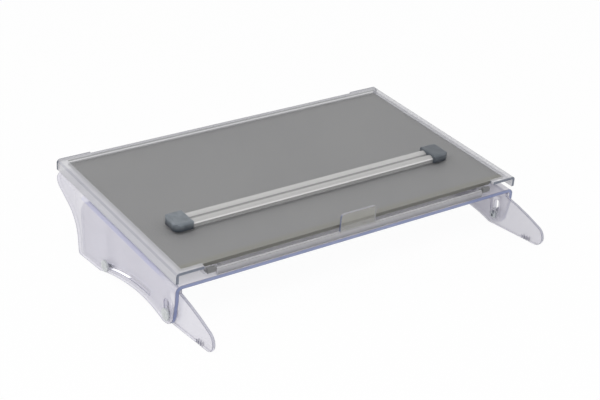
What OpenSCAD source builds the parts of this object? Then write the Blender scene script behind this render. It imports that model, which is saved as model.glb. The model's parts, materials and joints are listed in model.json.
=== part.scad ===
// Desk-top document holder in clear plastic. A writing board slides forward on a bent frame,
// a shallow drawer hangs in runners under the board, a line ruler slides over it, and two legs
// set the height. X runs to the right, Y to the rear and Z up; the origin is on the desk, in
// the middle of the holder.

/* [Board] */
// Width over the side walls
board_w = 520; // [490:5:600]
// Depth along the slope
board_d = 312; // [304:2:340]
// Slope in degrees
slope = 7.3; // [6.6:0.1:8]
// Height of the top at its front edge
front_h = 77; // [75:0.5:83]
// Thickness of the clear cover
cover_t = 4; // [3.2:0.1:4.5]
// Outside radius of the cover's side bends
cover_bend_r = 5.2; // [4.8:0.1:7]
// Depth of the recess in the cover's front edge
front_recess = 5.5; // [4:0.5:7]
// Width of the tab left at each side of the front recess
end_tab_w = 38; // [32:1:44]
// Depth of the recess in the cover's rear edge
rear_recess = 3; // [2:0.5:5]
// Width of the tab left at each side of the rear recess
rear_tab_w = 48; // [36:1:60]
// Inside radius of the recess corners
recess_r = 1.5; // [0.5:0.1:2]
// Thickness of the grey panel
panel_t = 2; // [1.5:0.1:2.5]
// Clear margin round the grey panel
panel_margin = 11; // [9:0.5:13]
// Distance of the grey panel's tongue from the edge of the front recess
tongue_margin = 1.5; // [1:0.1:2.5]

/* [Frame] */
// Thickness of the bent sheet
base_t = 5; // [4.5:0.1:5.5]
// Outside radius of its side bends
base_bend_r = 8.5; // [7.5:0.5:10]
// Gap between the cover's side flanges and the frame
flange_gap = 3.5; // [2.5:0.1:4.5]
// Length of the side wall's upper front edge, from the level of the board's top
wing_front_l = 38; // [35:0.5:40]
// Lean of the lower front edge in degrees
wing_lean = 16; // [12:0.5:19]
// Corner radius where the front edge leans
wing_kink_r = 6; // [3:0.5:9]
// Radius of the toe of the side wall
toe_r = 20.5; // [16:0.5:22]
// Gap between the side wall and the desk
wing_lift = 0.5; // [0.4:0.1:1.5]
// Overhang of the board behind the rear foot
rear_overhang = 49; // [44:1:54]
// Height of the knee above the rear foot
knee_h = 48.7; // [46:0.5:52]
// Rise of the underside behind the knee in degrees
knee_rise = 33; // [30:1:36]
// Radius of the hollow in the knee
knee_r = 50; // [40:1:52]
// Radius of the rear tail under the board
tail_r = 12.4; // [8:0.2:14]
// Radius of the rear foot's lower corner
heel_r = 4; // [2:0.5:6]
// Start of the arch in the lower edge, behind the board's front edge
arch_front_y = 36.4; // [34:0.2:42]
// Height of the arch
arch_h = 12.8; // [11:0.2:13.4]
// Length of the rear foot on the desk
rear_foot_l = 59; // [52:1:66]

/* [Legs] */
// Thickness of a leg
leg_t = 4; // [3.5:0.1:5]
// Gap between the leg's upper edge and the frame
leg_gap = 1.5; // [1:0.1:2.5]
// Distance of the leg's upper front edge behind the board's front edge
leg_front_y = 5; // [4:0.5:7]
// Height at which the fin leaves the front edge
fin_root_h = 48; // [46:0.5:50]
// Radius of the fin's long upper edge
fin_r = 340; // [260:5:420]
// Reach of the fin in front of the board's front edge
fin_reach = 67.5; // [60:0.5:80]
// Radius of the fin's nose
nose_r = 13.5; // [11:0.5:15]
// Radius of the leg's upper rear corner
leg_shoulder_r = 30; // [20:1:34]
// Width of the front upright slot
leg_slot_w = 15; // [13:0.5:16]
// Width of the rear upright slot
rear_slot_w = 7; // [6.8:0.1:8]
// Height of the rear upright slot above its bolt
rear_slot_h = 51; // [40:1:54]
// Corner radius of the upright slots
leg_slot_r = 2.5; // [1:0.1:3]
// Height by which the legs let out
leg_travel = 24; // [18:1:25]
// Distance of the last grip cut from the middle of the nose
kerf_y = 12; // [10:0.5:15]
// Width of a grip cut
kerf_w = 1.5; // [1:0.1:2]
// Depth of a grip cut
kerf_h = 5; // [4:0.1:7]
// Distance from one grip cut to the next
kerf_pitch = 5; // [4:0.1:6]
// Number of grip cuts
kerf_count = 3; // [2:1:4]

/* [Bolts and knobs] */
// Radius of the bolts
bolt_r = 3; // [2.5:0.1:3.2]
// Distance of the front bolts behind the board's front edge
front_bolt_y = 26; // [25:0.5:28]
// Height of the front bolts
front_bolt_z = 14.5; // [14:0.5:16]
// Distance of the rear bolts behind the board's front edge
rear_bolt_y = 181; // [176:1:184]
// Height of the rear bolts
rear_bolt_z = 15; // [14.5:0.5:16.5]
// Width of the upright slot in the side wall
wing_slot_w = 13; // [12:0.5:14]
// Height of its round upper end
wing_slot_top = 34; // [32:0.5:35]
// Width of the curved slot in the side wall
curved_slot_w = 7; // [6.8:0.1:7.6]
// Front end of the curved slot, behind the board's front edge
curved_slot_y = 68.5; // [64:0.5:76]
// Highest point of the curved slot, behind the board's front edge
curved_slot_peak = 98; // [92:1:104]
// Rise of the curved slot from the rear bolt to its highest point
curved_slot_rise = 11; // [10:0.5:12]
// Radius of the bolt heads
head_r = 5.25; // [4.8:0.05:6]
// Height of the bolt heads
head_h = 3.3; // [2.8:0.1:4]
// Width across the flats of the key socket
socket_w = 4; // [3:0.1:4.5]
// Depth of the key socket
socket_h = 2; // [1:0.1:2.2]
// Thickness of the washers
washer_t = 1; // [0.8:0.1:1.5]
// Radius of the washers between side wall and leg
spacer_r = 8.5; // [8:0.1:9.5]
// Radius of the washers under the bolt heads
head_washer_r = 8.5; // [8.2:0.1:9.5]
// Radius of the washers under the knobs
knob_washer_r = 7.5; // [7.1:0.1:7.8]
// Radius of the knobs
knob_r = 8; // [7:0.1:9]
// Height of the knobs
knob_h = 3; // [3:0.1:4]
// Crown on the outer face of the knobs
knob_crown = 0.6; // [0.3:0.1:0.8]
// Depth of the bore in the knobs
knob_bore = 2; // [1.5:0.1:2.1]
// Number of grip flutes
flute_count = 18; // [12:1:24]
// Radius of the grip flutes
flute_r = 0.7; // [0.4:0.1:0.9]

/* [Rails and runners] */
// Distance of the rails from the side walls' outer faces
rail_inset = 54.5; // [50:0.5:65]
// Width of a rail
rail_w = 11.5; // [10:0.5:14]
// Height of a rail
rail_h = 8.5; // [7.5:0.1:9]
// Distance of the rails from the front edge
rail_front = 10; // [9:0.5:14]
// Distance of the runners from the front edge
runner_front = 4.5; // [4.3:0.1:6]
// Distance of the rails from the rear edge
rail_rear = 12; // [10:1:24]
// Running gap of everything that slides
glide = 0.3; // [0.2:0.05:0.35]
// Thickness of the runner's web under the board
runner_t = 3.5; // [3.3:0.1:4]
// Thickness of the runner's upright lips
runner_lip = 2.8; // [2.2:0.1:3]
// Thickness of the runner's hook and ledge
hook_t = 2; // [1.6:0.1:2.2]
// Depth of the groove in the rail that holds the hook
groove_d = 3; // [2:0.1:4]
// Thickness of the rail above its groove
groove_drop = 1.9; // [1.6:0.1:2.2]
// Height of the drawer's ledge below the web
ledge_drop = 1.5; // [1.3:0.1:1.7]
// Width of the drawer's ledge
ledge_w = 3.3; // [2.6:0.1:4]
// Length of the rubber bumpers
bumper_l = 9.5; // [7:0.5:9.5]
// Height of the rubber bumpers
bumper_h = 7; // [6.5:0.1:8]
// Radius of the bumpers' front edges
bumper_r = 1; // [0.5:0.1:1.2]

/* [Drawer] */
// Depth of the drawer
drawer_d = 290; // [250:2:294]
// Thickness of the walls
drawer_wall = 3; // [2.5:0.1:4]
// Thickness of the floor
drawer_floor = 3; // [2:0.1:3.2]
// Radius inside the floor's corners
drawer_corner_r = 2; // [1:0.1:2.5]
// Thickness of the flanges that hang in the runners
drawer_flange = 1.9; // [1.5:0.1:2.1]
// Distance of the front's ends from the rails
drawer_front_gap = 1; // [0.5:0.5:5]
// Thickness of the front
drawer_front_t = 3; // [2.5:0.1:4]
// Gap between the front and the board's front edge
drawer_set_back = 0.5; // [0.3:0.1:1]
// Height of the front's upper edge below the board's top
drawer_front_drop = 8.5; // [7.5:0.1:8.6]
// Corner radius of the front
drawer_front_r = 1.5; // [0.5:0.1:3]
// Width of the pull tab
tab_w = 54; // [40:1:70]
// Height of the pull tab above the board's top
tab_h = 16; // [12:0.5:18]
// Radius of the pull tab's upper corners
tab_r = 5; // [3:0.5:7]
// Radius at the foot of the pull tab
tab_foot_r = 2; // [1:0.5:4]

/* [Ruler] */
// Distance of the ruler's left end from the board's left edge
ruler_left = 44; // [36:1:60]
// Distance of the ruler's right end from the board's right edge
ruler_right = 51; // [36:1:60]
// Distance of the ruler's middle from the board's front edge
ruler_s = 94.5; // [85:0.5:120]
// Width of the bar
bar_w = 26.5; // [22:0.5:28]
// Height of the bar
bar_h = 8; // [7:0.1:8.5]
// Height of the two ribs on the bar
rib_h = 3; // [2:0.1:3.5]
// Width of the groove between the ribs
rib_gap = 2.5; // [1.5:0.1:4]
// Length of an end cap
cap_l = 26; // [20:1:32]
// Width of an end cap
cap_w = 33; // [31:0.5:36]
// Height of an end cap
cap_h = 10.8; // [10:0.1:12]
// Radius of the end cap's outer corners
cap_corner_r = 9; // [5:0.5:12]
// Radius of the end cap's upper edges
cap_edge_r = 4; // [2:0.5:5]
// Wall at the closed end of an end cap
cap_wall = 4; // [3:0.5:6]

/* [Hidden] */

overrun = 1;
fit = 0.1;
screw_fit = 0.05;
play = 0.3;
arc_step = 5;
long_arc_step = 1;
$fn = 72;
wide_arc_fn = 360;

// Levels below the board's top, counted along the board's normal
panel_n = -cover_t;
runner_n = panel_n - panel_t;
web_n = runner_n - runner_t;
rail_n = web_n - glide;
base_n = rail_n - rail_h;
base_under_n = base_n - base_t;
groove_n = rail_n - groove_drop;
hook_n = groove_n - glide;
ledge_n = web_n - ledge_drop;
drawer_under_n = base_n + glide;

// Places across the holder
wing_x = board_w / 2;
leg_x = wing_x - base_t - washer_t;
leg_inner_x = leg_x - leg_t;
rail_x = wing_x - rail_inset;
rail_outer_x = rail_x + rail_w;
lip_x = rail_x - glide;
ledge_x = lip_x - runner_lip - ledge_w;
drawer_x = ledge_x - glide;
ruler_x = (ruler_left - ruler_right) / 2;
ruler_l = board_w - ruler_left - ruler_right;

// Side view of the frame: y from the board's front edge, z from the desk
down_slope = [-cos(slope), -sin(slope)];
normal = [-sin(slope), cos(slope)];
function at(s, n) = [0, front_h] - s * down_slope + n * normal;

wing_kink = at(0, -wing_front_l);
wing_toe = wing_kink + [tan(wing_lean), -1] * (wing_kink.y - wing_lift);
heel_y = at(board_d, 0).x - rear_overhang;
knee = [heel_y, knee_h];
tail = meet(at(board_d, 0), normal, knee, [cos(knee_rise), sin(knee_rise)]);
arch_rear_y = heel_y - rear_foot_l;
arch_peak_share = 0.42;
arch_peak_y = arch_front_y + arch_peak_share * (arch_rear_y - arch_front_y);
curve_run = rear_bolt_y - curved_slot_peak;
curve_r = (curve_run * curve_run + curved_slot_rise * curved_slot_rise) / (2 * curved_slot_rise);
curve_middle = [curved_slot_peak, rear_bolt_z + curved_slot_rise - curve_r];

// Side view of a leg
nose = [nose_r - fin_reach, nose_r];
fin_root = [leg_front_y, fin_root_h];
fin_middle = touching_circle(fin_root, nose, nose_r, fin_r);
fin_end_angle = angle_of(nose - fin_middle);
leg_top_n = base_under_n - leg_gap;
leg_top_front = meet(at(0, leg_top_n), down_slope, fin_root, [0, 1]);
leg_rear_y = heel_y - wing_lift;
leg_top_rear = meet(at(0, leg_top_n), down_slope, [leg_rear_y, 0], [0, 1]);

// The holder's middle, from the tip of the fins to the rearmost point of the tail
tail_middle = corner_middle(at(board_d, base_n), tail, knee, tail_r);
origin_y = (tail_middle.x + tail_r - fin_reach) / 2;

// Where the lines through p along u and through q along v meet
function meet(p, u, q, v) = p + u * cross(q - p, v) / cross(u, v);
function unit(v) = v / norm(v);
function angle_of(v) = atan2(v.y, v.x);
// Middle of a circle of radius r through p that holds and touches the circle (m, small_r)
function touching_circle(p, m, small_r, r) =
    let (d = norm(m - p), u = (m - p) / d, along = (r * r - pow(r - small_r, 2) + d * d) / (2 * d))
    p + along * u + sqrt(r * r - along * along) * [-u.y, u.x];
// Middle of the arc that rounds the corner b between a and c
function corner_middle(a, b, c, r) =
    let (u = unit(a - b), v = unit(c - b)) b + unit(u + v) * r / sin(acos(u * v) / 2);
function arc(m, r, from, to, step = arc_step) =
    let (steps = ceil(abs(to - from) / step))
    [for (k = [0:steps]) let (a = from + (to - from) * k / steps) m + r * [cos(a), sin(a)]];
function turn(from, to) = let (d = to - from) d > 180 ? d - 360 : d < -180 ? d + 360 : d;
// Points of the corner b between a and c, rounded with radius r
function corner(a, b, c, r) =
    r == 0 ? [b] :
    let (m = corner_middle(a, b, c, r), reach = r / tan(acos(unit(a - b) * unit(c - b)) / 2),
         from = angle_of(b + unit(a - b) * reach - m), to = angle_of(b + unit(c - b) * reach - m))
    arc(m, r, from, from + turn(from, to));
function place(c) = [c.x, c.y];
// Outline through corners given as [x, y, radius]
function rounded(c) =
    [for (i = [0:len(c) - 1])
        each corner(place(c[(i + len(c) - 1) % len(c)]), place(c[i]), place(c[(i + 1) % len(c)]), c[i].z)];
function with_r(p, r) = [p.x, p.y, r];

// Things on the board's slope keep their own axes: x across, y up the slope, z along the normal
module on_slope() {
    translate([0, -origin_y, front_h]) rotate([slope, 0, 0]) children();
}
// Extrudes an across-and-normal section up the slope
module up_slope(from, length) {
    translate([0, from + length, 0]) rotate([90, 0, 0]) linear_extrude(length) children();
}
// Extrudes a side view to the right
module across(from, length) {
    translate([from, 0, 0]) rotate([90, 0, 90]) linear_extrude(length) children();
}
// Sets a side wall piece with its inner face at x on one side, which is -1 or 1
module beside(side, x, thickness) {
    translate([0, -origin_y, 0]) across(side > 0 ? x : -x - thickness, thickness) children();
}
module both_sides() {
    children();
    mirror([1, 0, 0]) children();
}
// Square block with its top edges rounded, in section
module round_topped(w, r, depth) {
    translate([-w / 2, -depth]) square([w, depth - r]);
    translate([r - w / 2, -depth]) square([w - 2 * r, depth]);
    for (side = [-1, 1]) translate([side * (w / 2 - r), -r]) circle(r);
}
// Section of a sheet with both sides bent down
module bent_section(w, t, r, depth) {
    difference() {
        round_topped(w, r, depth);
        translate([0, -t]) round_topped(w - 2 * t, r - t, depth);
    }
}
// Slot along an arc that falls to the rear bolt, with round ends
module curved_slot() {
    half = curved_slot_w / 2;
    rear = angle_of([rear_bolt_y, rear_bolt_z] - curve_middle);
    front = angle_of([curved_slot_y - curved_slot_peak, curve_r]);
    front_end = curve_middle + curve_r * [cos(front), sin(front)];
    polygon(concat(
        arc(curve_middle, curve_r + half, front, rear, long_arc_step),
        arc([rear_bolt_y, rear_bolt_z], half, rear, rear - 180),
        arc(curve_middle, curve_r - half, rear, front, long_arc_step),
        arc(front_end, half, front + 180, front)));
}
// Upright slot of width w over a bolt, from the bolt's seat up to the height top_z
module upright_slot(bolt_y, bolt_z, top_z, w, top_r) {
    low = bolt_z - bolt_r - play;
    polygon(rounded([[bolt_y - w / 2, low, leg_slot_r], [bolt_y + w / 2, low, leg_slot_r],
                     [bolt_y + w / 2, top_z, top_r], [bolt_y - w / 2, top_z, top_r]]));
}

// Radius of one half of the arch
function arch_r(run) = (run * run + arch_h * arch_h) / (2 * arch_h);
module arch() {
    front_run = arch_peak_y - arch_front_y;
    rear_run = arch_rear_y - arch_peak_y;
    front_r = arch_r(front_run);
    rear_r = arch_r(rear_run);
    front_angle = angle_of([-front_run, front_r - arch_h]);
    rear_angle = angle_of([rear_run, rear_r - arch_h]);
    polygon(concat([[arch_front_y, -overrun]],
        arc([arch_peak_y, arch_h - front_r], front_r, front_angle, 90, long_arc_step),
        arc([arch_peak_y, arch_h - rear_r], rear_r, 90, rear_angle, long_arc_step),
        [[arch_rear_y, -overrun]]));
}
module wing_outline() {
    polygon(rounded([with_r(at(0, overrun), 0), with_r(wing_kink, wing_kink_r), with_r(wing_toe, toe_r),
                     [heel_y, wing_lift, heel_r], with_r(knee, knee_r), with_r(tail, tail_r),
                     with_r(at(board_d, overrun), 0)]));
}
module base_frame() {
    blank_l = board_d + 2 * front_h;
    color([0.82, 0.84, 0.92, 0.5])
    difference() {
        intersection() {
            on_slope() translate([0, 0, base_n])
                up_slope(-front_h, blank_l) bent_section(board_w, base_t, base_bend_r, blank_l);
            translate([0, -origin_y, 0]) across(-board_w, 2 * board_w) wing_outline();
        }
        translate([0, -origin_y, 0]) across(-board_w, 2 * board_w) {
            arch();
            upright_slot(front_bolt_y, front_bolt_z, wing_slot_top, wing_slot_w, wing_slot_w / 2);
            curved_slot();
        }
    }
}

module leg_outline() {
    polygon(concat([leg_top_front],
        arc(fin_middle, fin_r, angle_of(fin_root - fin_middle), fin_end_angle),
        arc(nose, nose_r, fin_end_angle, 270),
        corner([0, 0], [leg_rear_y, 0], leg_top_rear, heel_r),
        corner([leg_rear_y, 0], leg_top_rear, leg_top_front, leg_shoulder_r)));
}
module leg_side_view() {
    front_top = front_bolt_z + leg_travel + bolt_r + play;
    difference() {
        leg_outline();
        arch();
        upright_slot(front_bolt_y, front_bolt_z, front_top, leg_slot_w, leg_slot_r);
        upright_slot(rear_bolt_y, rear_bolt_z, rear_bolt_z + rear_slot_h, rear_slot_w, leg_slot_r);
        for (k = [0:kerf_count - 1])
            translate([nose.x + kerf_y + k * kerf_pitch, -overrun]) square([kerf_w, kerf_h + overrun]);
    }
}
module leg(side) {
    color([0.84, 0.85, 0.9, 0.5]) beside(side, leg_inner_x, leg_t) leg_side_view();
}
module left_leg() leg(-1);
module right_leg() leg(1);

// Places its children at a bolt, with z outwards from x
module at_bolt(side, y, z, x) {
    translate([side * x, y - origin_y, z]) rotate([0, side * 90, 0]) children();
}
module at_all_bolts(x) {
    for (side = [-1, 1]) {
        at_bolt(side, front_bolt_y, front_bolt_z, x) children();
        at_bolt(side, rear_bolt_y, rear_bolt_z, x) children();
    }
}
module bolt() {
    rim = head_h / 3;
    dome_h = head_h - rim;
    dome_r = (head_r * head_r + dome_h * dome_h) / (2 * dome_h);
    shank = leg_t + base_t + 3 * washer_t + knob_bore - play;
    difference() {
        rotate_extrude() intersection() {
            translate([0, -head_h]) square([head_r, head_h]);
            translate([0, dome_r - head_h]) circle(dome_r);
        }
        translate([0, 0, -head_h - overrun])
            cylinder(h = socket_h + overrun, r = socket_w / 2 / cos(30), $fn = 6);
    }
    cylinder(h = shank, r = bolt_r);
}
module washer(r) {
    difference() {
        cylinder(h = washer_t, r = r);
        translate([0, 0, -overrun]) cylinder(h = washer_t + 2 * overrun, r = bolt_r + fit);
    }
}
module leg_bolts() color([0.6, 0.62, 0.64]) at_all_bolts(leg_inner_x - washer_t) bolt();
module head_washers() color([0.9, 0.9, 0.92]) at_all_bolts(leg_inner_x - washer_t) washer(head_washer_r);
module spacer_washers() color([0.9, 0.9, 0.92]) at_all_bolts(leg_x) washer(spacer_r);
module knob_washers() color([0.9, 0.9, 0.92]) at_all_bolts(wing_x) washer(knob_washer_r);
module knob(side, y, z) {
    crown_r = (knob_r * knob_r + knob_crown * knob_crown) / (2 * knob_crown);
    color([0.76, 0.79, 0.78]) at_bolt(side, y, z, wing_x + washer_t)
    difference() {
        rotate_extrude() intersection() {
            square([knob_r, knob_h]);
            translate([0, knob_h - crown_r]) circle(crown_r, $fn = wide_arc_fn);
        }
        translate([0, 0, -overrun]) cylinder(h = knob_bore + overrun, r = bolt_r + screw_fit);
        for (k = [0:flute_count - 1]) rotate([0, 0, k * 360 / flute_count])
            translate([knob_r + flute_r / 3, 0, -overrun])
                cylinder(h = knob_h + 2 * overrun, r = flute_r, $fn = 24);
    }
}
module front_left_knob() knob(-1, front_bolt_y, front_bolt_z);
module front_right_knob() knob(1, front_bolt_y, front_bolt_z);
module rear_left_knob() knob(-1, rear_bolt_y, rear_bolt_z);
module rear_right_knob() knob(1, rear_bolt_y, rear_bolt_z);

// Recess in the edge of a sheet: an open rectangle of width w and depth d with rounded corners
module recess(w, d) {
    polygon(rounded([[-w / 2, -overrun, 0], [w / 2, -overrun, 0], [w / 2, d, recess_r], [-w / 2, d, recess_r]]));
}
module through_cover() {
    translate([0, 0, -cover_t - overrun]) linear_extrude(cover_t + 2 * overrun) children();
}
module cover() {
    color([0.86, 0.87, 0.9, 0.4]) on_slope()
    difference() {
        up_slope(0, board_d) bent_section(board_w, cover_t, cover_bend_r, -base_n - flange_gap);
        through_cover() recess(board_w - 2 * end_tab_w, front_recess);
        through_cover() translate([0, board_d]) mirror([0, 1]) recess(board_w - 2 * rear_tab_w, rear_recess);
    }
}
module writing_panel() {
    w = board_w - 2 * panel_margin;
    tongue = front_recess + tongue_margin;
    tongue_w = board_w - 2 * end_tab_w - 2 * tongue_margin;
    color([0.55, 0.55, 0.54]) on_slope()
    translate([0, 0, runner_n]) linear_extrude(panel_t) {
        translate([-w / 2, panel_margin]) square([w, board_d - 2 * panel_margin]);
        translate([-tongue_w / 2, tongue]) square([tongue_w, panel_margin - tongue + overrun]);
    }
}

// Section of the right rail, with the groove that keeps the board down
module rail_section() {
    difference() {
        translate([rail_x, base_n]) square([rail_w, rail_h]);
        translate([rail_outer_x - groove_d, groove_n - hook_t - 2 * glide])
            square([groove_d + overrun, hook_t + 2 * glide]);
    }
}
// Section of the right runner: an outer lip with a hook and an inner lip with the drawer's ledge
module runner_section() {
    outer_x = rail_outer_x + glide;
    hook_x = outer_x - groove_d;
    inner_x = lip_x - runner_lip;
    polygon([[inner_x, runner_n], [outer_x + runner_lip, runner_n], [outer_x + runner_lip, hook_n - hook_t],
             [hook_x, hook_n - hook_t], [hook_x, hook_n], [outer_x, hook_n], [outer_x, web_n],
             [lip_x, web_n], [lip_x, ledge_n - hook_t], [ledge_x, ledge_n - hook_t],
             [ledge_x, ledge_n], [inner_x, ledge_n]]);
}
module rail() {
    color([0.88, 0.89, 0.93, 0.5]) on_slope()
        up_slope(rail_front + glide, board_d - rail_front - glide - rail_rear) rail_section();
}
module runner() {
    w = rail_outer_x + glide + runner_lip - ledge_x;
    below_web = web_n - hook_n + hook_t;
    color([0.86, 0.87, 0.92, 0.5]) on_slope() difference() {
        up_slope(runner_front, board_d - runner_front - rail_rear) runner_section();
        translate([ledge_x - overrun, runner_front - overrun, web_n - below_web - overrun])
            cube([w + 2 * overrun, rail_front - runner_front + overrun, below_web + overrun]);
    }
}
// Rubber bumper in front of and under the runner's front end, which meets the end of the rail
module bumper() {
    from = rail_front - bumper_l;
    low = runner_n - bumper_h;
    color([0.38, 0.39, 0.4]) on_slope() across(rail_x, rail_w)
        polygon(rounded([[from, low, bumper_r], [rail_front, low, 0], [rail_front, web_n, 0],
                         [runner_front, web_n, 0], [runner_front, runner_n, 0], [from, runner_n, bumper_r]]));
}
module right_rail() rail();
module left_rail() mirror([1, 0, 0]) rail();
module right_runner() runner();
module left_runner() mirror([1, 0, 0]) runner();
module right_bumper() bumper();
module left_bumper() mirror([1, 0, 0]) bumper();

module drawer_section() {
    flange_n = ledge_n + glide;
    flange_x = lip_x - runner_lip - glide;
    top_n = flange_n + drawer_flange;
    inner_x = drawer_x - drawer_wall;
    floor_n = drawer_under_n + drawer_floor;
    difference() {
        union() {
            translate([-drawer_x, drawer_under_n]) square([2 * drawer_x, top_n - drawer_under_n]);
            translate([-flange_x, flange_n]) square([2 * flange_x, drawer_flange]);
        }
        polygon(rounded([[-inner_x, floor_n, drawer_corner_r], [inner_x, floor_n, drawer_corner_r],
                         [inner_x, top_n + overrun, 0], [-inner_x, top_n + overrun, 0]]));
    }
}
module drawer_tray() {
    front = drawer_set_back + drawer_front_t;
    wall_h = ledge_n + glide + drawer_flange - drawer_under_n;
    color([0.86, 0.87, 0.9, 0.4]) on_slope() {
        up_slope(front, drawer_d - front) drawer_section();
        translate([-drawer_x, drawer_d - drawer_wall, drawer_under_n]) cube([2 * drawer_x, drawer_wall, wall_h]);
    }
}
module drawer_front() {
    side = rail_x - drawer_front_gap;
    top = -drawer_front_drop;
    color([0.8, 0.81, 0.84, 0.6]) on_slope()
    up_slope(drawer_set_back, drawer_front_t)
        polygon(rounded([[-side, drawer_under_n, drawer_front_r], [side, drawer_under_n, drawer_front_r],
                         [side, top, drawer_front_r], [tab_w / 2, top, tab_foot_r],
                         [tab_w / 2, tab_h, tab_r], [-tab_w / 2, tab_h, tab_r],
                         [-tab_w / 2, top, tab_foot_r], [-side, top, drawer_front_r]]));
}

// Section of the ruler bar with two round ribs, grown on all sides but the lower one
module bar_section(grow) {
    half = bar_w / 2 + grow;
    rib_half = (bar_w - rib_gap) / 4 + grow;
    rib_r = (rib_half * rib_half + rib_h * rib_h) / (2 * rib_h);
    body_h = bar_h - rib_h + grow;
    translate([-half, 0]) square([2 * half, body_h]);
    both_sides() intersection() {
        translate([half - rib_half, body_h + rib_h - rib_r]) circle(rib_r, $fn = wide_arc_fn);
        translate([half - 2 * rib_half, 0]) square([2 * rib_half, bar_h + grow + overrun]);
    }
}
module on_board_at_ruler() {
    on_slope() translate([ruler_x, ruler_s, 0]) children();
}
module ruler_bar() {
    bar_l = ruler_l - 2 * cap_wall - 2 * fit;
    color([0.85, 0.86, 0.88, 0.6]) on_board_at_ruler() across(-bar_l / 2, bar_l) bar_section(0);
}
module ruler_cap() {
    half = cap_w / 2;
    color([0.4, 0.42, 0.45]) on_board_at_ruler() translate([ruler_l / 2 - cap_l, 0, 0])
    difference() {
        intersection() {
            linear_extrude(cap_h)
                polygon(rounded([[0, -half, cap_edge_r / 2], [cap_l, -half, cap_corner_r],
                                 [cap_l, half, cap_corner_r], [0, half, cap_edge_r / 2]]));
            across(0, cap_l)
                polygon(rounded([[-half, 0, 0], [half, 0, 0], [half, cap_h, cap_edge_r], [-half, cap_h, cap_edge_r]]));
            translate([0, half, 0]) rotate([90, 0, 0]) linear_extrude(cap_w)
                polygon(rounded([[0, 0, 0], [cap_l, 0, 0], [cap_l, cap_h, cap_edge_r], [0, cap_h, cap_edge_r / 2]]));
        }
        across(-overrun, cap_l - cap_wall + overrun) bar_section(fit);
    }
}
module right_ruler_cap() ruler_cap();
module left_ruler_cap() translate([2 * ruler_x, 0, 0]) mirror([1, 0, 0]) ruler_cap();

base_frame();
left_rail();
right_rail();
cover();
writing_panel();
left_runner();
right_runner();
left_bumper();
right_bumper();
drawer_tray();
drawer_front();
ruler_bar();
left_ruler_cap();
right_ruler_cap();
left_leg();
right_leg();
leg_bolts();
spacer_washers();
head_washers();
knob_washers();
front_left_knob();
front_right_knob();
rear_left_knob();
rear_right_knob();
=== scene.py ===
# Clear document holder with a sliding board, a drawer and a line ruler
import json
import math

import bmesh
import bpy
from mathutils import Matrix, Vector


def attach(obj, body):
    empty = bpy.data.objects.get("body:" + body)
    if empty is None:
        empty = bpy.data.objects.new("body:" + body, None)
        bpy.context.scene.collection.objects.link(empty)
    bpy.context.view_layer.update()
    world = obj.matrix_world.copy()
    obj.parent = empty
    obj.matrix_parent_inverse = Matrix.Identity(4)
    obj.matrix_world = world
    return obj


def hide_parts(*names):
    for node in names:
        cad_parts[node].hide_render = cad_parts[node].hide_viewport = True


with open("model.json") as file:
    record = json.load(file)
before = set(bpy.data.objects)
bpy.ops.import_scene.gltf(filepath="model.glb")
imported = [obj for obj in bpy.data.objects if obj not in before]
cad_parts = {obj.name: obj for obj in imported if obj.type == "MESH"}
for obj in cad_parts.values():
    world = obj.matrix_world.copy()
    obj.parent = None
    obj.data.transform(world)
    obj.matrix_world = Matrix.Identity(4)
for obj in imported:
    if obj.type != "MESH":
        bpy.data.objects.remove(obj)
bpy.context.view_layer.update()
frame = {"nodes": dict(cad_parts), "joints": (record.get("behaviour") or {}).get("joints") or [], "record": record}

mm = 0.001
bodyOf = {node: body for body, nodes in frame["record"]["behaviour"]["bodies"].items() for node in nodes}

# The board's own directions, from the joint that it slides on
boardSlide = next(joint for joint in frame["joints"] if joint["name"] == "board_slide")
downSlope = Vector(boardSlide["axis"]).normalized()
boardNormal = Vector((0, downSlope.z, -downSlope.y))
sideways = Vector((1, 0, 0))
rearward = Vector((0, 1, 0))
print("frame loaded:", len(frame["nodes"]), "nodes")


class Wire:  # an output socket that sums can be written with
    def __init__(self, finish, socket):
        self.finish = finish
        self.socket = socket

    def math(self, operation, first, second):
        return self.finish.node("Math", {"operation": operation}, {0: first, 1: second})

    def __add__(self, other):
        return self.math("ADD", self, other)

    def __radd__(self, other):
        return self.math("ADD", other, self)

    def __sub__(self, other):
        return self.math("SUBTRACT", self, other)

    def __rsub__(self, other):
        return self.math("SUBTRACT", other, self)

    def __mul__(self, other):
        return self.math("MULTIPLY", self, other)

    def __rmul__(self, other):
        return self.math("MULTIPLY", other, self)

    def __pow__(self, other):
        return self.math("POWER", self, other)

    def rise(self, low, high):  # 0 at low, 1 at high, smooth between them
        return self.finish.node("MapRange", {"interpolation_type": "SMOOTHSTEP"},
                                {"Value": self, "From Min": low, "From Max": high})

    def step(self, place, fade):  # 0 before the place and 1 past it, faded to both sides
        return self.rise(place - fade, place + fade)

    def within(self, low, high, fade):  # 1 between low and high, faded inside them
        return self.rise(low, low + fade) * (1 - self.rise(high - fade, high))

    def spread(self, low=0.3):  # draws noise, which keeps near its middle, out to the whole range
        return self.rise(low, 1 - low)

    def limited(self):
        return self.finish.node("Clamp", {}, {"Value": self})

    def size(self):
        return self.finish.node("Math", {"operation": "ABSOLUTE"}, {0: self})

    def larger(self, other):
        return self.math("MAXIMUM", self, other)


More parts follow.
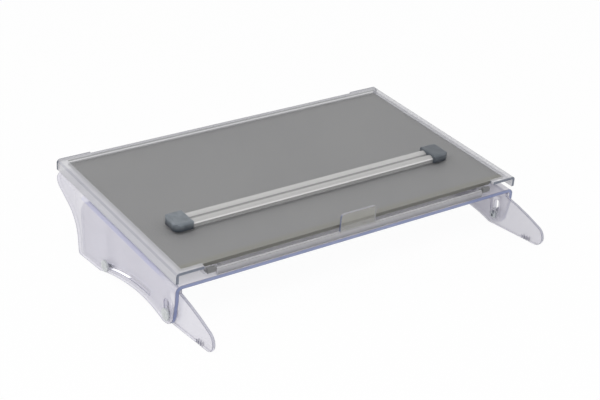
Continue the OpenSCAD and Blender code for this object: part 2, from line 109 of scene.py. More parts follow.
class Finish:  # the node tree of one material or of the world, built from expressions
    def __init__(self, owner):
        self.owner = owner
        owner.use_nodes = True
        self.tree = owner.node_tree
        self.tree.nodes.clear()

    def node(self, kind, settings, inputs, output=0):
        made = self.tree.nodes.new("ShaderNode" + kind)
        for key, value in settings.items():
            setattr(made, key, value)
        for key, value in inputs.items():
            if isinstance(value, Wire):
                self.tree.links.new(value.socket, made.inputs[key])
            else:
                made.inputs[key].default_value = value
        if made.outputs:
            return Wire(self, made.outputs[output])

    def mix(self, share, first, second):
        return self.node("Mix", {"data_type": "RGBA"}, {0: share, 6: rgba(first), 7: rgba(second)}, 2)

    def place(self):
        return self.node("TexCoord", {}, {}, "Object")

    def grain(self, size, detail=2, stretch=(1, 1, 1)):  # noise with lumps of about this size in metres
        place = self.node("Mapping", {}, {"Vector": self.place(), "Scale": stretch})
        return self.node("TexNoise", {}, {"Vector": place, "Scale": 1 / size, "Detail": detail})

    def along(self, direction, start=0):  # how far a point lies along a direction, past the start
        away = self.node("VectorMath", {"operation": "DOT_PRODUCT"},
                         {0: self.place(), 1: tuple(direction)}, "Value")
        return away - start

    def glance(self):  # 0 seen square on, 1 at a glancing angle
        return self.node("LayerWeight", {}, {"Blend": acrylic["rim"]}, "Facing") ** acrylic["rimPower"]

    def bump(self, height, depth):
        return self.node("Bump", {}, {"Height": height, "Distance": depth, "Strength": 1})

    def surface(self, **values):
        inputs = {socketNames[key]: rgba(value) if key in ("color", "glow") else value
                  for key, value in values.items()}
        shader = self.node("BsdfPrincipled", {}, inputs)
        self.node("OutputMaterial", {}, {"Surface": shader})
        return self.owner


socketNames = {"color": "Base Color", "roughness": "Roughness", "metallic": "Metallic", "alpha": "Alpha",
               "normal": "Normal", "ior": "IOR", "coat": "Coat Weight", "sheen": "Sheen Weight",
               "glow": "Emission Color", "glowStrength": "Emission Strength"}


def rgba(color):
    return color if isinstance(color, Wire) else (*color[:3], 1)


def newFinish(name):
    return Finish(bpy.data.materials.new(name))


def reach(node, direction):  # the farthest that a node goes along a direction
    return max(vertex.co.dot(direction) for vertex in frame["nodes"][node].data.vertices)


boardFront = reach("cover", downSlope)
boardTop = reach("cover", boardNormal)
legTop = reach("left_leg", boardNormal)
legEnd = reach("left_leg", -downSlope)
legRear = reach("left_leg", rearward)

# What all clear sheets share, and all their cut edges. Values that end in Size are the lumps of a noise,
# those in Veil what hides the things behind, and depth is how far a surface is uneven.
acrylic = {"ior": 1.49, "rim": 0.35, "rimPower": 3, "waveSize": 50 * mm, "cloudSize": 90 * mm,
           "cloudVeil": 0.03, "dustSize": 1.6 * mm, "dustFrom": 0.66, "dustFull": 0.8, "dustVeil": 0.03,
           "roughness": 0.1, "dustRoughness": 0.12}
sawn = {"streakSize": 1.2 * mm, "patchSize": 30 * mm, "patchShare": 0.65, "patchVeil": 0.06,
        "roughness": 0.22, "streakRoughness": 0.2, "depth": 0.04 * mm,
        "line": 0.8, "lineWidth": 1.2 * mm, "lineFade": 0.2 * mm}
# Painted light: the blue of the legs' top edges, as it shows through the legs and the walls that they shine
# through, painted on their faces.
# It goes past its depth by what over says, and then fades.
bandShape = {"depth": 6 * mm, "from": 20 * mm, "full": 60 * mm, "fade": 0.8 * mm, "over": 0.2 * mm,
             "endFade": 1 * mm}


def clearSheet(name, look, band=None):
    # A sheet of clear plastic: it hides a part of what is behind it, more at a glancing angle.
    # band is a painted blue strip along the top of the legs, where their top edges show through, and a thicker
    # veil behind their rear.
    f = newFinish(name)
    cloud = f.grain(acrylic["cloudSize"], 3)
    dust = f.grain(acrylic["dustSize"], 1).rise(acrylic["dustFrom"], acrylic["dustFull"])
    color = f.mix(cloud.spread(), look["tint"], look["shade"])
    alpha = (look["veil"] + look["glance"] * f.glance()
             + acrylic["dustVeil"] * dust + acrylic["cloudVeil"] * cloud)
    if band:
        share = f.along(boardNormal, band["top"] - band["depth"]).within(
            0, band["depth"] + band["fade"] + band["over"], band["fade"])
        share = band["share"] * share * f.along(-downSlope, -boardFront).rise(band["from"], band["full"])
        share = share * (1 - f.along(-downSlope, band["end"]).rise(-band["endFade"], 0))
        alpha = alpha + band["rearVeil"] * f.along(rearward, legRear).rise(0, band["endFade"])
        # the painted blue of the legs' top edges, seen through the sheet
        color = f.mix(share, color, band["tint"])
        alpha = alpha + band["veil"] * share
    # painted light: the sheet glows in its own tint, so that it stays bright where it is in shade
    return f.surface(color=color, roughness=acrylic["roughness"] + acrylic["dustRoughness"] * dust,
                     alpha=alpha.limited(), ior=acrylic["ior"], glow=look["tint"], glowStrength=look["glow"],
                     normal=f.bump(f.grain(acrylic["waveSize"], 1), look["wave"]))


def cutEdge(name, look, sides=()):
    # The sawn and flamed edge of a sheet; its glow is painted light, for the light that runs in the sheet and
    # comes out there.
    # sides are the places of the sheet's faces, where the edge draws a dark line of painted shade.
    f = newFinish(name)
    streak = f.grain(sawn["streakSize"], stretch=look["saw"])
    patch = f.grain(sawn["patchSize"])
    color = f.mix((sawn["patchShare"] * patch + (1 - sawn["patchShare"]) * streak).spread(),
                  look["deep"], look["light"])
    alpha = look["veil"] + sawn["patchVeil"] * patch
    for side in sides:
        away = (f.along(sideways).size() - side).size()
        line = sawn["line"] * (1 - away.rise(sawn["lineWidth"] - sawn["lineFade"], sawn["lineWidth"]))
        color = f.mix(line, color, outline["deep"])
        alpha = alpha + line
    # painted light: the edge glows in its light colour
    return f.surface(color=color, roughness=sawn["roughness"] + sawn["streakRoughness"] * streak,
                     alpha=alpha.limited(), ior=acrylic["ior"], glow=look["light"],
                     glowStrength=look.get("glow", 0), normal=f.bump(streak, sawn["depth"]))


seam = 2e-6  # vertices closer than this are one
flatAngle = math.radians(0.6)  # faces that turn less than this are one
sharpAngle = math.radians(28)  # edges that turn more than this are softened
softEdge = 0.25 * mm
outlineEdge = 0.4 * mm  # where the softened edges show as dark outlines of painted shade
hairGap = 0.04 * mm  # how far each piece draws in, so that touching faces stay apart
flatWeight = 60  # how far broad faces keep their normals flat up to a softened edge


def finished(node, finishes, pick=None, edgeRadius=softEdge, edgeFinish=-1, clamped=True):
    # A copy of a node with clean faces and softened edges, which stands for the node.
    # pick gives the finish of a face by its number in the list, edgeFinish that of the edges.
    shape = bmesh.new()
    shape.from_mesh(frame["nodes"][node].data)
    bmesh.ops.remove_doubles(shape, verts=shape.verts, dist=seam)
    shape.normal_update()
    for face in shape.faces:
        face.material_index = pick(face) if pick else 0
    bmesh.ops.dissolve_limit(shape, angle_limit=flatAngle, verts=shape.verts, edges=shape.edges,
                             delimit={"MATERIAL"})
    shape.normal_update()
    sharp = [edge for edge in shape.edges
             if len(edge.link_faces) == 2 and edge.calc_face_angle(0) > sharpAngle]
    bmesh.ops.bevel(shape, geom=sharp, offset=edgeRadius, offset_type="OFFSET", segments=2, profile=0.5,
                    affect="EDGES", clamp_overlap=clamped, material=edgeFinish)
    shape.normal_update()
    for vertex in shape.verts:
        vertex.co -= vertex.normal * hairGap
    for face in shape.faces:
        face.smooth = True
    mesh = bpy.data.meshes.new("finished_" + node)
    shape.to_mesh(mesh)
    shape.free()
    for finish in finishes:
        mesh.materials.append(finish)
    piece = bpy.data.objects.new("finished_" + node, mesh)
    bpy.context.scene.collection.objects.link(piece)
    normals = piece.modifiers.new("even_normals", "WEIGHTED_NORMAL")
    normals.weight = flatWeight
    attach(piece, bodyOf[node])
    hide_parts(node)


# Values that end in Turn say how squarely a face has to look a way, as the cosine of the angle
broadTurn = 0.6


def isBroad(face):  # a broad face of an upright sheet
    return abs(face.normal.x) > broadTurn


# The bent frame: deck and side walls from one sheet
bentFrame = {"tint": (0.565, 0.555, 0.615), "shade": (0.53, 0.52, 0.575), "veil": 0.44, "glance": 0.25,
             "glow": 0.24, "wave": 0.6 * mm, "bendDepth": 8 * mm, "frontDepth": 9.5 * mm,
             "wallDepth": 24 * mm, "deckTurn": 0.3, "frontTurn": 0.5, "slotTurn": 0.6}
wallBand = {**bandShape, "tint": (0.28, 0.31, 0.62), "share": 0.34, "veil": 0, "rearVeil": 0.1,
            "top": legTop + bandShape["depth"], "end": legEnd - 12 * mm}
frameFrontEdge = {"deep": (0.20, 0.24, 0.43), "light": (0.28, 0.32, 0.51), "veil": 0.92, "saw": (1, 0.15, 1)}
frameCut = {"deep": (0.48, 0.47, 0.57), "light": (0.58, 0.57, 0.66), "veil": 0.45, "glow": 0.35,
            "saw": (1, 0.15, 1)}
# painted shade: the dark outlines on the softened edges
outline = {"deep": (0.14, 0.14, 0.21), "light": (0.20, 0.20, 0.28), "veil": 0.88, "saw": (1, 0.2, 1)}
slotFloor = {"pale": (0.70, 0.70, 0.76), "paintedHighlight": (0.95, 0.95, 0.97), "paleGlow": (0.1, 0.1, 0.1),
             "highlightGlow": (0.5, 0.5, 0.52), "veil": 0.45, "highlightVeil": 0.5,
             "from": 112 * mm, "to": 163 * mm, "fade": 4 * mm, "saw": (1, 0.15, 1), "roughness": 0.25,
             "depth": 0.03 * mm}


def makeSlotFloor():  # the slots' upward faces, with a painted highlight along the curved slot
    f = newFinish("slot_floor")
    paintedHighlight = f.along(-downSlope, -boardFront).within(slotFloor["from"], slotFloor["to"], slotFloor["fade"])
    streak = f.grain(sawn["streakSize"], stretch=slotFloor["saw"])
    color = f.mix(paintedHighlight, slotFloor["pale"], slotFloor["paintedHighlight"])
    # painted light: the slot faces glow, most in the painted highlight
    return f.surface(color=color, roughness=slotFloor["roughness"] + sawn["streakRoughness"] * streak,
                     alpha=(slotFloor["veil"] + slotFloor["highlightVeil"] * paintedHighlight).limited(),
                     glow=f.mix(paintedHighlight, slotFloor["paleGlow"], slotFloor["highlightGlow"]), glowStrength=1,
                     normal=f.bump(streak, slotFloor["depth"]))


def makeBentFrame():
    wallTop = -reach("left_rail", -boardNormal) - bentFrame["bendDepth"]
    clear, frontEdge, cut, slotFace, edges = range(5)

    def pick(face):
        middle = face.calc_center_median()
        forward = face.normal.dot(downSlope)
        low = middle.dot(boardNormal) < wallTop
        if isBroad(face) or (not low and abs(forward) < bentFrame["deckTurn"]):
            return clear
        depth = boardFront - middle.dot(downSlope)
        if forward > bentFrame["frontTurn"] and depth < bentFrame["wallDepth" if low else "frontDepth"]:
            return frontEdge
        return slotFace if low and face.normal.z > bentFrame["slotTurn"] else cut

    finishes = [clearSheet("frame_clear", bentFrame, wallBand), cutEdge("frame_front_edge", frameFrontEdge),
                cutEdge("frame_cut", frameCut, [reach("base_frame", sideways)]), makeSlotFloor(),
                cutEdge("frame_outline", outline)]
    finished("base_frame", finishes, pick, outlineEdge, edges, clamped=False)


# The two legs
legs = {"tint": (0.59, 0.58, 0.635), "shade": (0.55, 0.54, 0.595), "farShade": 0.92, "veil": 0.5, "glance": 0.3,
        "glow": 0.24, "wave": 0.5 * mm, "thickness": 4 * mm, "topDepth": 3 * mm, "topTurn": 0.9,
        "finLength": 84 * mm, "finTurn": -0.3, "sawFrom": 22 * mm, "sawTo": 41 * mm,
        "sawLow": 0.1 * mm, "sawHigh": 5.5 * mm, "sawTurn": 0.5}
legBand = {**bandShape, "tint": (0.05, 0.09, 0.42), "share": 1, "veil": 0.95, "rearVeil": 0,
           "top": legTop, "end": legEnd}
legTopEdge = {"deep": (0.16, 0.20, 0.42), "light": (0.24, 0.28, 0.50), "veil": 0.92, "saw": (1, 0.2, 1)}
legCut = {"deep": (0.48, 0.47, 0.56), "light": (0.60, 0.59, 0.67), "veil": 0.35, "glow": 0.3,
          "saw": (1, 0.2, 1)}
finEdge = {"deep": (0.38, 0.38, 0.46), "light": (0.48, 0.48, 0.56), "veil": 0.75, "saw": (1, 0.2, 1)}
# painted shade: the saw kerfs' faces are near black, for the shade inside the narrow cuts
sawCut = {"deep": (0.05, 0.05, 0.08), "light": (0.10, 0.10, 0.14), "veil": 0.9, "saw": (1, 1, 0.3)}


def withPaintedShade(look):  # painted shade: darker colours for the far leg, which stands in less light
    return {**look, **{key: [part * look["farShade"] for part in look[key]] for key in ("tint", "shade")}}


def makeLegs():
    side = reach("right_leg", sideways)
    sides = [side, side - legs["thickness"]]
    clears = {"left_leg": clearSheet("leg_clear", legs, legBand)}
    edgeFinishes = [cutEdge("leg_top_edge", legTopEdge), cutEdge("leg_cut", legCut, sides),
                    cutEdge("saw_kerf_painted_shade", sawCut), cutEdge("fin_edge", finEdge), cutEdge("leg_outline", outline)]
    # the far leg gets the painted shade
    clears["right_leg"] = clearSheet("leg_clear_painted_shade", withPaintedShade(legs))
    clear, topEdge, cut, sawFace, fin, edges = range(6)
    for node in clears:
        top = reach(node, boardNormal)
        tip = -reach(node, -rearward)

        def pick(face):
            middle = face.calc_center_median()
            if isBroad(face):
                return clear
            if middle.dot(boardNormal) > top - legs["topDepth"] and face.normal.z > legs["topTurn"]:
                return topEdge
            back = middle.y - tip
            if legs["sawFrom"] < back < legs["sawTo"] and legs["sawLow"] < middle.z < legs["sawHigh"]:
                return sawFace if face.normal.y > legs["sawTurn"] else cut
            return fin if back < legs["finLength"] and face.normal.z > legs["finTurn"] else cut

        finished(node, [clears[node], *edgeFinishes], pick, outlineEdge, edges, clamped=False)


# The board: a clear cover over a grey panel
cover = {"tint": (0.68, 0.68, 0.71), "shade": (0.64, 0.64, 0.68), "veil": 0.06, "border": 0.5, "glance": 0.25,
         "sideBorder": 11 * mm, "rearBorder": 12.5 * mm, "frontBorder": 7.3 * mm, "borderFade": 0.3 * mm,
         "line": (0.40, 0.40, 0.45), "lineInset": 1 * mm, "lineHalf": 1.2 * mm, "lineFade": 0.6 * mm,
         "lineVeil": 0.15, "lineDepth": 3.6 * mm, "lineDepthFade": 0.8 * mm,
         "inner": (0.27, 0.27, 0.28), "innerDepth": 4.5 * mm, "innerFade": 1 * mm, "innerVeil": 0.3,
         "rim": (0.30, 0.30, 0.35), "rimDepth": 2.2 * mm, "rimFade": 1 * mm, "rimVeil": 0.2,
         "end": (0.08, 0.095, 0.13), "endLength": 4 * mm, "endFade": 0.4 * mm, "endVeil": 0.5,
         "endFrom": 2 * mm, "endFull": 1 * mm, "roughness": 0.08, "dustRoughness": 0.1, "wave": 0.3 * mm,
         "edgeTurn": 0.5}
coverFrontEdge = {"slate": (0.16, 0.18, 0.23), "olive": (0.13, 0.128, 0.115), "tabsFrom": 221 * mm,
                  "tabsFade": 1 * mm, "veil": 0.96, "saw": (1, 0.2, 1), "roughness": 0.25, "depth": 0.03 * mm}
coverCut = {"deep": (0.36, 0.36, 0.40), "light": (0.46, 0.46, 0.50), "veil": 0.8, "saw": (1, 0.2, 1)}
panel = {"grey": (0.231, 0.231, 0.227), "shade": (0.218, 0.218, 0.215), "speckSize": 0.9 * mm,
         "cloudSize": 120 * mm, "cloudShare": 0.5, "olive": (0.220, 0.216, 0.187), "oliveDepth": 16 * mm,
         "oliveFade": 5 * mm, "roughness": 0.55, "speckRoughness": 0.2, "depth": 0.03 * mm}


def makeCoverClear():
    # Nearly unseen over the panel and paler along its sides and rear
    f = newFinish("cover_clear")
    fade = cover["borderFade"]
    side = reach("cover", sideways)
    rear = reach("cover", -downSlope)
    across = f.along(sideways).size()
    border = across.step(side - cover["sideBorder"], fade)
    border = border.larger(f.along(-downSlope, rear - cover["rearBorder"]).step(0, fade))
    tabs = across.step(coverFrontEdge["tabsFrom"], coverFrontEdge["tabsFade"] / 2)
    border = border.larger(tabs * f.along(downSlope, boardFront - cover["frontBorder"]).step(0, fade))
    cloud = f.grain(acrylic["cloudSize"], 3)
    color = f.mix(cloud.spread(), cover["tint"], cover["shade"])
    # painted shade: a darker line where the side flange turns down
    line = 1 - (across - (side - cover["lineInset"])).size().rise(
        cover["lineHalf"], cover["lineHalf"] + cover["lineFade"])
    line = line * f.along(boardNormal, boardTop - cover["lineDepth"]).rise(0, cover["lineDepthFade"])
    color = f.mix(line, color, cover["line"])
    # along the rear the panel is painted in again in the border, as it shows through the sheet, and the rim is
    # painted darker as shade
    back = f.along(-downSlope, rear - cover["rearBorder"])
    innerSide = side - cover["sideBorder"]
    inner = back.rise(0, fade) * (
        1 - back.rise(cover["innerDepth"] - cover["innerFade"], cover["innerDepth"])) * (
        1 - across.rise(innerSide - cover["innerFade"], innerSide))
    color = f.mix(inner, color, cover["inner"])
    rim = f.along(-downSlope, rear - cover["rimDepth"]).rise(0, cover["rimFade"])
    color = f.mix(rim, color, cover["rim"])
    # the rear end of the side flange, painted dark as shade where the sheet is seen along its length
    end = f.along(-downSlope, rear - cover["endLength"]).rise(0, cover["endFade"]) * across.rise(
        side - cover["endFrom"], side - cover["endFull"])
    color = f.mix(end, color, cover["end"])
    alpha = cover["veil"] + (cover["border"] - cover["veil"]) * border + cover["glance"] * f.glance()
    alpha = (alpha + cover["endVeil"] * end + cover["lineVeil"] * line
             + cover["innerVeil"] * inner + cover["rimVeil"] * rim)
    dust = f.grain(acrylic["dustSize"], 1)
    return f.surface(color=color, roughness=cover["roughness"] + cover["dustRoughness"] * dust,
                     alpha=alpha.limited(), ior=acrylic["ior"],
                     normal=f.bump(f.grain(acrylic["waveSize"], 1), cover["wave"]))


def makeCoverFrontEdge():  # slate on the end tabs; between them olive, the panel painted in where it shows through
    f = newFinish("cover_front_edge")
    streak = f.grain(sawn["streakSize"], stretch=coverFrontEdge["saw"])
    tabs = f.along(sideways).size().step(coverFrontEdge["tabsFrom"], coverFrontEdge["tabsFade"])
    color = f.mix(tabs, coverFrontEdge["olive"], coverFrontEdge["slate"])
    return f.surface(color=color, roughness=coverFrontEdge["roughness"] + sawn["streakRoughness"] * streak,
                     alpha=coverFrontEdge["veil"], ior=acrylic["ior"],
                     normal=f.bump(streak, coverFrontEdge["depth"]))


def makePanelGrey():  # specked grey with an olive tint along its front edge
    f = newFinish("panel_grey")
    speck = f.grain(panel["speckSize"])
    cloud = f.grain(panel["cloudSize"], 3)
    mottle = panel["cloudShare"] * cloud + (1 - panel["cloudShare"]) * speck
    color = f.mix(mottle.spread(0.35), panel["grey"], panel["shade"])
    front = reach("writing_panel", downSlope)
    olive = f.along(downSlope, front - panel["oliveDepth"]).rise(0, panel["oliveFade"])
    return f.surface(color=f.mix(olive, color, panel["olive"]),
                     roughness=panel["roughness"] + panel["speckRoughness"] * speck,
                     normal=f.bump(speck, panel["depth"]))


def makeBoard():
    clear, frontEdge, cut = range(3)

    def pick(face):
        forward = face.normal.dot(downSlope)
        if abs(forward) < cover["edgeTurn"]:
            return clear
        return frontEdge if forward > 0 else cut

    finishes = [makeCoverClear(), makeCoverFrontEdge(), cutEdge("cover_cut", coverCut)]
    finished("cover", finishes, pick)
    finished("writing_panel", [makePanelGrey()])


# Rails, runners and bumpers between the board and the frame
slides = {"tint": (0.74, 0.74, 0.78), "shade": (0.68, 0.68, 0.72), "veil": 0.2, "glance": 0.3, "glow": 0.1,
          "wave": 0.3 * mm}
bumpers = {"dark": (0.16, 0.16, 0.163), "light": (0.23, 0.23, 0.233), "grainSize": 0.6 * mm, "roughness": 0.6,
           "grainRoughness": 0.2, "depth": 0.05 * mm}


def makeSlides():
    clear = clearSheet("slide_clear", slides)
    for node in ("left_rail", "right_rail", "left_runner", "right_runner"):
        finished(node, [clear])
    f = newFinish("bumper_rubber")
    grain = f.grain(bumpers["grainSize"], 3)
    rubber = f.surface(color=f.mix(grain, bumpers["dark"], bumpers["light"]),
                       roughness=bumpers["roughness"] + bumpers["grainRoughness"] * grain,
                       normal=f.bump(grain, bumpers["depth"]))
    for node in ("left_bumper", "right_bumper"):
        finished(node, [rubber])


# The drawer
# painted shade: the tray's sheet is darker than the other sheets, for the shade under the board
tray = {"tint": (0.48, 0.48, 0.505), "shade": (0.44, 0.44, 0.465), "veil": 0.3, "glance": 0.3, "glow": 0.05,
        "wave": 0.4 * mm}
lip = {"tint": (0.57, 0.565, 0.59), "low": (0.28, 0.28, 0.30), "footDepth": 7 * mm, "veil": 0.55,
       "tabTint": (0.44, 0.435, 0.40), "tabVeil": 0.32, "top": 9 * mm, "topFade": 1 * mm,
       "cloudSize": 30 * mm, "cloudVeil": 0.05, "roughness": 0.12, "cloudRoughness": 0.1, "wave": 0.4 * mm,
       "faceTurn": 0.5, "leftTurn": -0.7}
lipEdge = {"deep": (0.56, 0.555, 0.58), "light": (0.66, 0.655, 0.68), "veil": 0.85, "saw": (0.2, 1, 1)}
tabEdge = {"deep": (0.36, 0.355, 0.40), "light": (0.44, 0.435, 0.48), "veil": 0.8, "saw": (0.2, 1, 1)}
tabSide = {"deep": (0.14, 0.16, 0.26), "light": (0.20, 0.22, 0.32), "veil": 0.85, "saw": (1, 1, 0.2)}


def makeLipClear(foot):  # painted shade darker towards its foot, and clearer in the pull tab above the lip
    f = newFinish("lip_clear")
    height = f.along(boardNormal, foot)
    cloud = f.grain(lip["cloudSize"])
    tab = height.step(lip["top"], lip["topFade"])
    color = f.mix(height.rise(0, lip["footDepth"]), lip["low"], lip["tint"])
    color = f.mix(tab, color, lip["tabTint"])
    alpha = lip["veil"] + (lip["tabVeil"] - lip["veil"]) * tab + lip["cloudVeil"] * cloud
    return f.surface(color=color, roughness=lip["roughness"] + lip["cloudRoughness"] * cloud,
                     alpha=alpha.limited(), ior=acrylic["ior"], normal=f.bump(cloud, lip["wave"]))


def makeDrawer():
    foot = -reach("drawer_front", -boardNormal)
    clear, topEdge, upperEdge, leftEdge = range(4)

    def pick(face):
        if abs(face.normal.dot(downSlope)) > lip["faceTurn"]:
            return clear
        if face.calc_center_median().dot(boardNormal) < foot + lip["top"] + lip["topFade"]:
            return topEdge
        return leftEdge if face.normal.x < lip["leftTurn"] else upperEdge

    finished("drawer_tray", [clearSheet("tray_clear", tray)])
    finishes = [makeLipClear(foot), cutEdge("lip_edge", lipEdge), cutEdge("tab_edge", tabEdge),
                cutEdge("tab_side", tabSide)]
    finished("drawer_front", finishes, pick)


# The line ruler with its two rubber caps
ruler = {"litRib": (0.70, 0.69, 0.685), "groove": (0.36, 0.36, 0.36), "grooveHalf": 1.8 * mm,
         "ribFrom": 2.4 * mm, "line": (0.80, 0.79, 0.785), "lineWidth": 1.4 * mm, "lineFade": 0.4 * mm,
         "lineVeil": 0.2, "lineHighlightGlow": 0.04, "veil": 0.62,
         "drawnSize": 0.8 * mm, "drawnStretch": (0.05, 1, 1), "drawnVeil": 0.1,
         "roughness": 0.15, "drawnRoughness": 0.15, "depth": 0.03 * mm, "topTurn": 0.3, "underTurn": -0.5}
rulerSide = {"tint": (0.58, 0.58, 0.58), "shade": (0.52, 0.52, 0.52), "veil": 0.35, "glance": 0.1,
             "glow": 0.3, "wave": 0.2 * mm}
rulerUnder = {"tint": (0.4, 0.4, 0.4), "shade": (0.4, 0.4, 0.4), "veil": 0.04, "glance": 0, "glow": 0,
              "wave": 0.2 * mm}
caps = {"dark": (0.13, 0.15, 0.17), "light": (0.20, 0.225, 0.25), "foot": (0.02, 0.027, 0.038),
        "footHeight": 9.5 * mm, "farShade": 0.52, "farPlace": 200 * mm, "poreSize": 0.7 * mm, "cloudSize": 10 * mm,
        "cloudShare": 0.6, "roughness": 0.36, "poreRoughness": 0.25, "depth": 0.08 * mm, "sheen": 0.1}


def makeRulerTop():  # painted light and shade: the ribs are painted lit, the groove between them in shade, and the front edge as a bright, glowing line
    f = newFinish("ruler_top")
    front = reach("ruler_bar", downSlope)
    middle = (front - reach("ruler_bar", -downSlope)) / 2
    drawn = f.grain(ruler["drawnSize"], stretch=ruler["drawnStretch"])
    litRib = f.along(downSlope, middle).size().rise(ruler["grooveHalf"], ruler["ribFrom"])
    line = f.along(downSlope, front - ruler["lineWidth"]).rise(0, ruler["lineFade"])
    color = f.mix(line, f.mix(litRib, ruler["groove"], ruler["litRib"]), ruler["line"])
    alpha = ruler["veil"] + ruler["drawnVeil"] * drawn + ruler["lineVeil"] * line
    return f.surface(color=color, roughness=ruler["roughness"] + ruler["drawnRoughness"] * drawn,
                     alpha=alpha.limited(), ior=acrylic["ior"], glow=f.mix(line, (0, 0, 0), ruler["line"]),
                     glowStrength=ruler["lineHighlightGlow"], normal=f.bump(drawn, ruler["depth"]))


def makeCapRubber():  # painted shade: darkest at its foot, and the right cap darker as it stands in less light
    f = newFinish("cap_rubber")
    pore = f.grain(caps["poreSize"], 3)
    cloud = f.grain(caps["cloudSize"])
    mottle = caps["cloudShare"] * cloud + (1 - caps["cloudShare"]) * pore
    color = f.mix(mottle.spread(), caps["dark"], caps["light"])
    foot = 1 - f.along(boardNormal, boardTop).rise(0, caps["footHeight"])
    farShade = caps["farShade"] * f.along(sideways).rise(-caps["farPlace"], caps["farPlace"])
    return f.surface(color=f.mix(foot.larger(farShade), color, caps["foot"]),
                     roughness=caps["roughness"] + caps["poreRoughness"] * pore,
                     normal=f.bump(pore, caps["depth"]), sheen=caps["sheen"])


def makeRuler():
    side, top, under = range(3)

    def pick(face):
        slant = face.normal.dot(boardNormal)
        return top if slant > ruler["topTurn"] else under if slant < ruler["underTurn"] else side

    finishes = [clearSheet("ruler_side", rulerSide), makeRulerTop(), clearSheet("ruler_under", rulerUnder)]
    finished("ruler_bar", finishes, pick, outlineEdge, top, clamped=False)
    rubber = makeCapRubber()
    for node in ("left_ruler_cap", "right_ruler_cap"):
        finished(node, [rubber])


# Bolts, washers and knobs
steel = {"dark": (0.32, 0.34, 0.36), "light": (0.5, 0.52, 0.54), "brushSize": 0.8 * mm,
         "brushStretch": (0.3, 1, 1), "roughness": 0.28, "brushRoughness": 0.25, "depth": 0.02 * mm,
         "edgeRadius": 0.15 * mm}
nylon = {"dark": (0.74, 0.74, 0.78), "light": (0.84, 0.84, 0.88), "veil": 0.4, "grainSize": 1 * mm,
         "roughness": 0.4, "grainRoughness": 0.2, "depth": 0.02 * mm, "edgeRadius": 0.1 * mm}
knobs = {"dark": (0.50, 0.525, 0.53), "light": (0.62, 0.64, 0.645), "cloudSize": 4 * mm,
         "grainSize": 0.8 * mm, "roughness": 0.25, "cloudRoughness": 0.15, "depth": 0.02 * mm, "coat": 0.3,
         "edgeRadius": 0.2 * mm}


def makeFasteners():
    f = newFinish("bolt_steel")
    brush = f.grain(steel["brushSize"], 3, steel["brushStretch"])
    metal = f.surface(color=f.mix(brush, steel["dark"], steel["light"]), metallic=1,
                      roughness=steel["roughness"] + steel["brushRoughness"] * brush,
                      normal=f.bump(brush, steel["depth"]))
    finished("leg_bolts", [metal], edgeRadius=steel["edgeRadius"])
    f = newFinish("washer_nylon")
    grain = f.grain(nylon["grainSize"])
    milky = f.surface(color=f.mix(grain, nylon["dark"], nylon["light"]), alpha=nylon["veil"],
                      roughness=nylon["roughness"] + nylon["grainRoughness"] * grain,
                      normal=f.bump(grain, nylon["depth"]))
    for node in ("spacer_washers", "knob_washers", "head_washers"):
        finished(node, [milky], edgeRadius=nylon["edgeRadius"])
    f = newFinish("knob_plastic")
    cloud = f.grain(knobs["cloudSize"])
    plastic = f.surface(color=f.mix(cloud.spread(), knobs["dark"], knobs["light"]),
                        roughness=knobs["roughness"] + knobs["cloudRoughness"] * cloud,
                        normal=f.bump(f.grain(knobs["grainSize"]), knobs["depth"]), coat=knobs["coat"])
    for node in bodyOf:
        if node.endswith("_knob"):
            finished(node, [plastic], edgeRadius=knobs["edgeRadius"])


# Floor, light and camera
floor = {"size": 12, "cells": 8, "white": (0.97, 0.97, 0.97), "grey": (0.93, 0.93, 0.93), "patchSize": 0.4,
         "backdropShare": 0.96}
lamps = {
    "key": {"place": (-1.4, -1.2, 1.95), "size": 1.6, "power": 26},
    "fill": {"place": (1.8, -0.9, 1.5), "size": 1.8, "power": 7},
    "back": {"place": (-1.9, 1.7, 1.6), "size": 1.8, "power": 11},
}
lampAim = Vector((0, 0, 50 * mm))
sky = {"light": 0.51, "seen": 1}
white = (1, 1, 1, 1)


def seenShare(f):  # 1 for what the camera, gloss and glass see, 0 for what lights the object
    rays = ("Is Camera Ray", "Is Glossy Ray", "Is Transmission Ray")
    seen = [f.node("LightPath", {}, {}, ray) for ray in rays]
    return (seen[0] + seen[1] + seen[2]).limited()


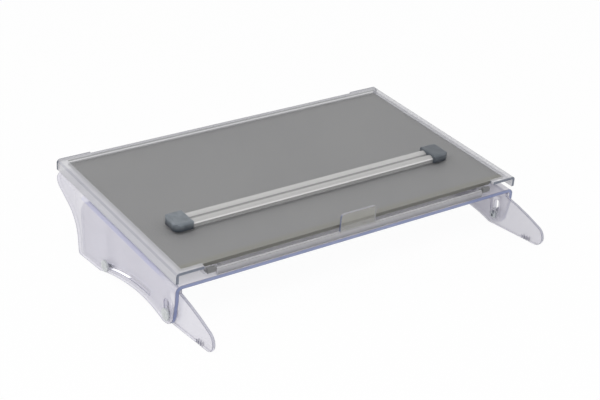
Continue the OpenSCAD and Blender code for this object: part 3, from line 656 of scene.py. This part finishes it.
def makeStudio():
    shape = bmesh.new()
    bmesh.ops.create_grid(shape, x_segments=floor["cells"], y_segments=floor["cells"], size=floor["size"] / 2)
    mesh = bpy.data.meshes.new("floor")
    shape.to_mesh(mesh)
    shape.free()
    plane = bpy.data.objects.new("floor", mesh)
    bpy.context.scene.collection.objects.link(plane)
    f = newFinish("floor_white")
    color = f.mix(f.grain(floor["patchSize"]), floor["grey"], floor["white"])
    matt = f.node("BsdfDiffuse", {}, {"Color": color})
    backdrop = f.node("Emission", {}, {"Color": white, "Strength": 1})
    shader = f.node("MixShader", {}, {0: seenShare(f) * floor["backdropShare"], 1: matt, 2: backdrop})
    f.node("OutputMaterial", {}, {"Surface": shader})
    mesh.materials.append(f.owner)

    world = bpy.data.worlds.new("studio")
    bpy.context.scene.world = world
    f = Finish(world)
    strength = sky["light"] + (sky["seen"] - sky["light"]) * seenShare(f)
    background = f.node("Background", {}, {"Color": white, "Strength": strength})
    f.node("OutputWorld", {}, {"Surface": background})

    for name, lamp in lamps.items():
        data = bpy.data.lights.new(name, "AREA")
        data.shape = "DISK"
        data.size = lamp["size"]
        data.energy = lamp["power"]
        light = bpy.data.objects.new(name, data)
        light.location = lamp["place"]
        light.rotation_euler = (lampAim - light.location).to_track_quat("-Z", "Y").to_euler()
        bpy.context.scene.collection.objects.link(light)


shot = {"azimuth": 34.3803, "elevation": 23.4614, "lens": 83.878, "sensor": 36,
        "place": (-0.95171, -1.384487, 0.79119)}


def makeCamera():
    turned, raised = math.radians(shot["azimuth"]), math.radians(shot["elevation"])
    level = math.cos(raised)
    ahead = Vector((math.sin(turned) * level, math.cos(turned) * level, -math.sin(raised)))
    data = bpy.data.cameras.new("camera")
    data.lens = shot["lens"]
    data.sensor_width = shot["sensor"]
    camera = bpy.data.objects.new("camera", data)
    camera.location = shot["place"]
    camera.rotation_euler = ahead.to_track_quat("-Z", "Y").to_euler()
    bpy.context.scene.collection.objects.link(camera)
    bpy.context.scene.camera = camera


makeBentFrame()
makeLegs()
print("frame and legs done")
makeBoard()
makeSlides()
makeDrawer()
makeRuler()
print("board, drawer and ruler done")
makeFasteners()
makeStudio()
makeCamera()
bpy.context.scene.view_settings.view_transform = "Standard"
print("studio done")
